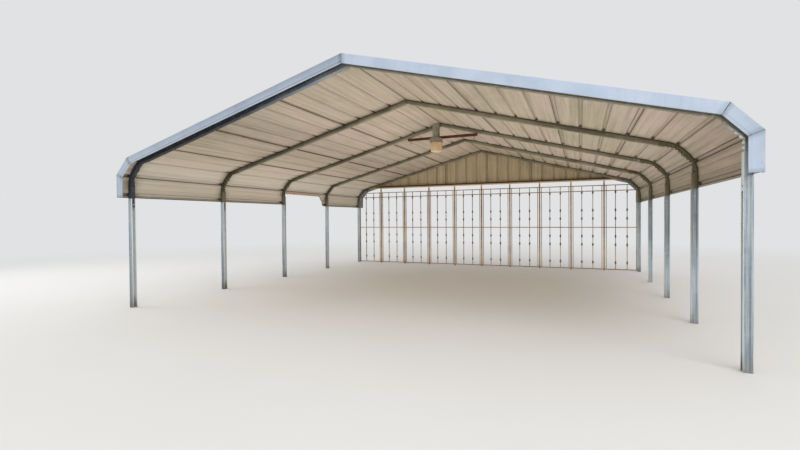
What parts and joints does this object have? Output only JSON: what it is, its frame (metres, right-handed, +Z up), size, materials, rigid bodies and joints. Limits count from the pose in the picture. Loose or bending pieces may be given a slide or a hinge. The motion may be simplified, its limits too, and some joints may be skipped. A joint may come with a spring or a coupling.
{
  "type": "carport",
  "caption": "Open carport of galvanised channel bows with a ribbed sheet roof bent over its eaves, a sheeted rear gable, an iron screen across the rear and a hanging yard light.",
  "frame": {"origin": "centre of the plan on the ground, under the middle bow", "axes": "+X to the right seen from the open front, +Y from the open front to the rear screen, +Z up"},
  "size_m": [6.135, 6.0978, 2.5503],
  "materials": {
    "galvanised_steel": "bare zinc coat on roll-formed steel, weathered grey with darker stains",
    "roof_paint": "thin baked paint on ribbed steel sheet, warm beige and chalky below",
    "trim_paint": "pale grey-white baked paint on folded sheet",
    "gable_paint": "baked paint on ribbed steel sheet, khaki grey",
    "iron_paint": "old tan paint on iron bars with rust along the edges",
    "crosspiece_wood": "dark red-brown stained timber",
    "bolt_zinc": "dull plated steel",
    "board_paint": "weathered grey-green timber",
    "housing_paint": "dull grey-brown enamel on pressed metal",
    "lens_plastic": "ribbed yellowed clear plastic"
  },
  "bodies": {
    "root": {"bow_1": "galvanised_steel", "bow_2": "galvanised_steel", "bow_3": "galvanised_steel", "bow_4": "galvanised_steel", "bow_5": "galvanised_steel", "front_eave_trim_left": "trim_paint", "front_eave_trim_right": "trim_paint", "front_rake_trim_left": "trim_paint", "front_rake_trim_right": "trim_paint", "gable_header": "iron_paint", "gable_sheets": "gable_paint", "light_board": "board_paint", "light_crosspiece": "crosspiece_wood", "light_hangers": "bolt_zinc", "light_housing": "housing_paint", "light_lens": "lens_plastic", "post_left_1": "galvanised_steel", "post_left_2": "galvanised_steel", "post_left_3": "galvanised_steel", "post_left_4": "galvanised_steel", "post_left_5": "galvanised_steel", "post_right_1": "galvanised_steel", "post_right_2": "galvanised_steel", "post_right_3": "galvanised_steel", "post_right_4": "galvanised_steel", "post_right_5": "galvanised_steel", "rear_eave_trim_left": "trim_paint", "rear_eave_trim_right": "trim_paint", "rear_rake_trim_left": "trim_paint", "rear_rake_trim_right": "trim_paint", "ridge_cap": "trim_paint", "roof_sheet_left_1": "roof_paint", "roof_sheet_left_2": "roof_paint", "roof_sheet_left_3": "roof_paint", "roof_sheet_left_4": "roof_paint", "roof_sheet_left_5": "roof_paint", "roof_sheet_right_1": "roof_paint", "roof_sheet_right_2": "roof_paint", "roof_sheet_right_3": "roof_paint", "roof_sheet_right_4": "roof_paint", "roof_sheet_right_5": "roof_paint", "screen_panel_1": "iron_paint", "screen_panel_10": "iron_paint", "screen_panel_2": "iron_paint", "screen_panel_3": "iron_paint", "screen_panel_4": "iron_paint", "screen_panel_5": "iron_paint", "screen_panel_6": "iron_paint", "screen_panel_7": "iron_paint", "screen_panel_8": "iron_paint", "screen_panel_9": "iron_paint", "screen_uprights": "iron_paint"}
  },
  "joints": []
}
